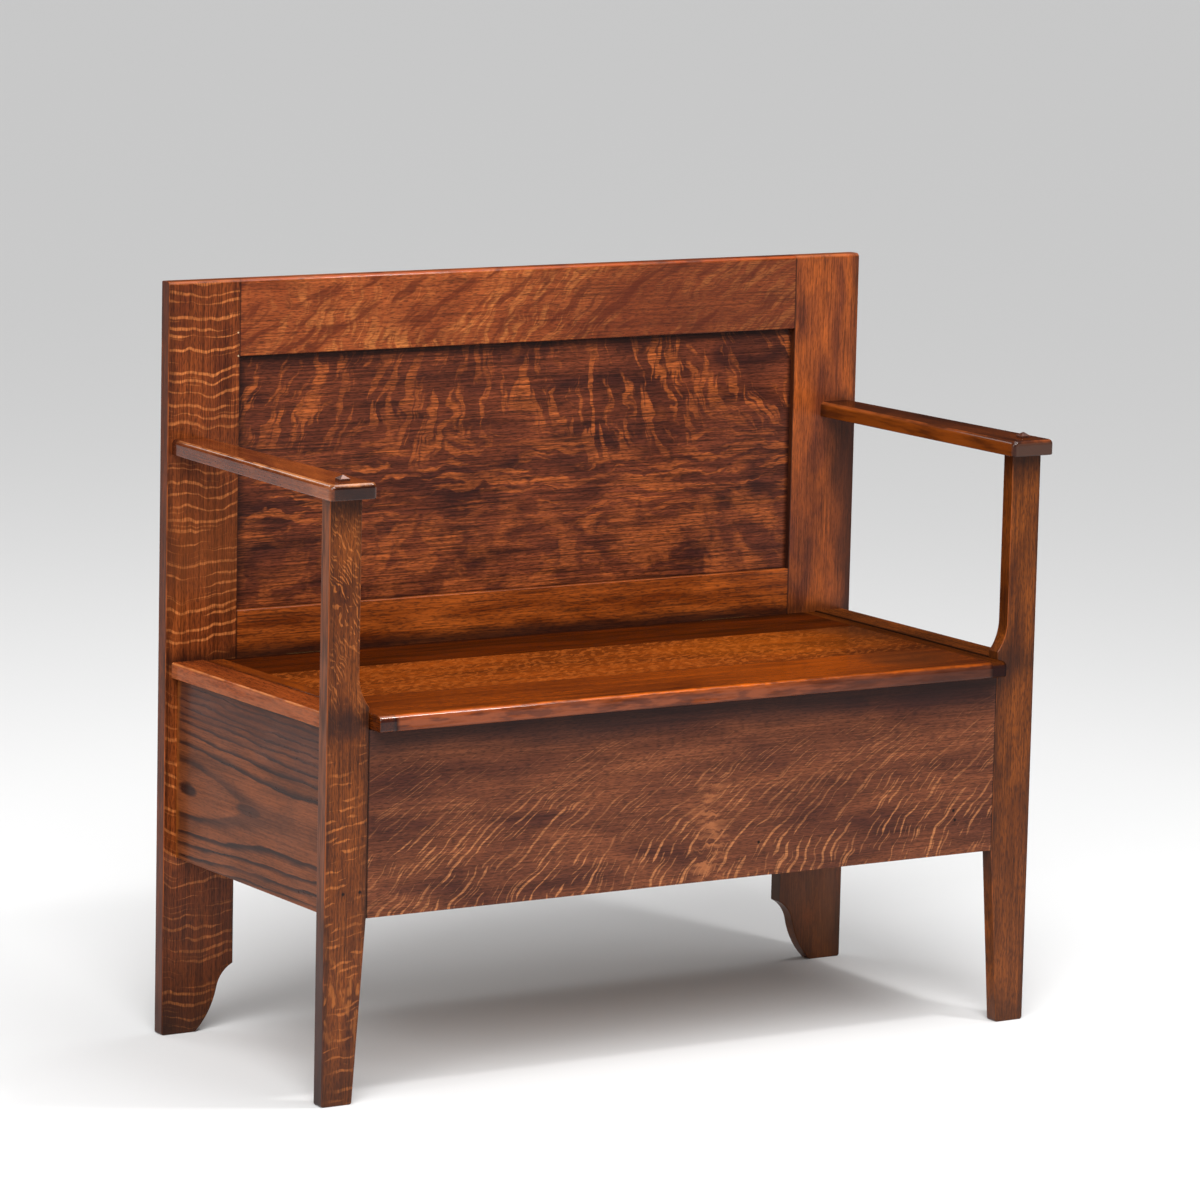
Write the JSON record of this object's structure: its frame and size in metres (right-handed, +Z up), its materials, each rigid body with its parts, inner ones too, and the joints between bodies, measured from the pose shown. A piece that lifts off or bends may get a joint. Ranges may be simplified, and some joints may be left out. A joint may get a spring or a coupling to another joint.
{
  "type": "mission settle",
  "caption": "Mission hall settle in quarter-sawn oak: framed back, flat arms, plank legs and a storage box under a hinged lift-up seat lid.",
  "frame": {"origin": "on the floor, at the middle of the outer box", "axes": "+Z up, +X to the right as seen from the front, +Y towards the back"},
  "size_m": [1.0104, 0.4396, 0.914],
  "materials": {
    "fumed_oak": "fumed and shellacked, satin gloss",
    "plain_oak": "unfinished, aged",
    "dowel_birch": "bare",
    "hinge_brass": "tarnished",
    "steel_fasteners": "dull"
  },
  "bodies": {
    "frame": {"arm_dowels": "dowel_birch", "arm_left": "fumed_oak", "arm_peg_left": "fumed_oak", "arm_peg_right": "fumed_oak", "arm_right": "fumed_oak", "back_bottom_rail": "fumed_oak", "back_panel": "fumed_oak", "back_stile_left": "fumed_oak", "back_stile_right": "fumed_oak", "back_top_rail": "fumed_oak", "bottom_board_1": "plain_oak", "bottom_board_2": "plain_oak", "bottom_board_3": "plain_oak", "bottom_cleat_back": "plain_oak", "bottom_cleat_end_left": "plain_oak", "bottom_cleat_end_right": "plain_oak", "bottom_cleat_front": "plain_oak", "bottom_cleat_screws": "steel_fasteners", "bottom_nails": "steel_fasteners", "box_back": "plain_oak", "cap_strip_left": "fumed_oak", "cap_strip_right": "fumed_oak", "corner_block_back_left": "plain_oak", "corner_block_back_right": "plain_oak", "corner_block_front_left": "plain_oak", "corner_block_front_right": "plain_oak", "corner_block_screws": "steel_fasteners", "end_panel_left": "fumed_oak", "end_panel_right": "fumed_oak", "front_leg_left": "fumed_oak", "front_leg_right": "fumed_oak", "front_panel": "fumed_oak", "front_panel_dowels": "dowel_birch", "hinge_1_fixed_leaf": "hinge_brass", "hinge_1_pin": "hinge_brass", "hinge_2_fixed_leaf": "hinge_brass", "hinge_2_pin": "hinge_brass", "hinge_screws_fixed": "steel_fasteners", "lid_ledger_left": "plain_oak", "lid_ledger_right": "plain_oak", "lid_ledger_screws": "steel_fasteners"},
    "lid": {"hinge_1_moving_leaf": "hinge_brass", "hinge_2_moving_leaf": "hinge_brass", "hinge_screws_moving": "steel_fasteners", "lid_board_back": "fumed_oak", "lid_board_front": "fumed_oak", "lid_board_middle": "fumed_oak", "lid_cleat_left": "fumed_oak", "lid_cleat_right": "fumed_oak"}
  },
  "joints": [
    {"name": "lid_hinge", "type": "hinge", "parent": "frame", "child": "lid", "pos_m": [0, 0.19795, 0.4545], "axis": [-1, 0, 0], "range_deg": [0, 90]}
  ]
}
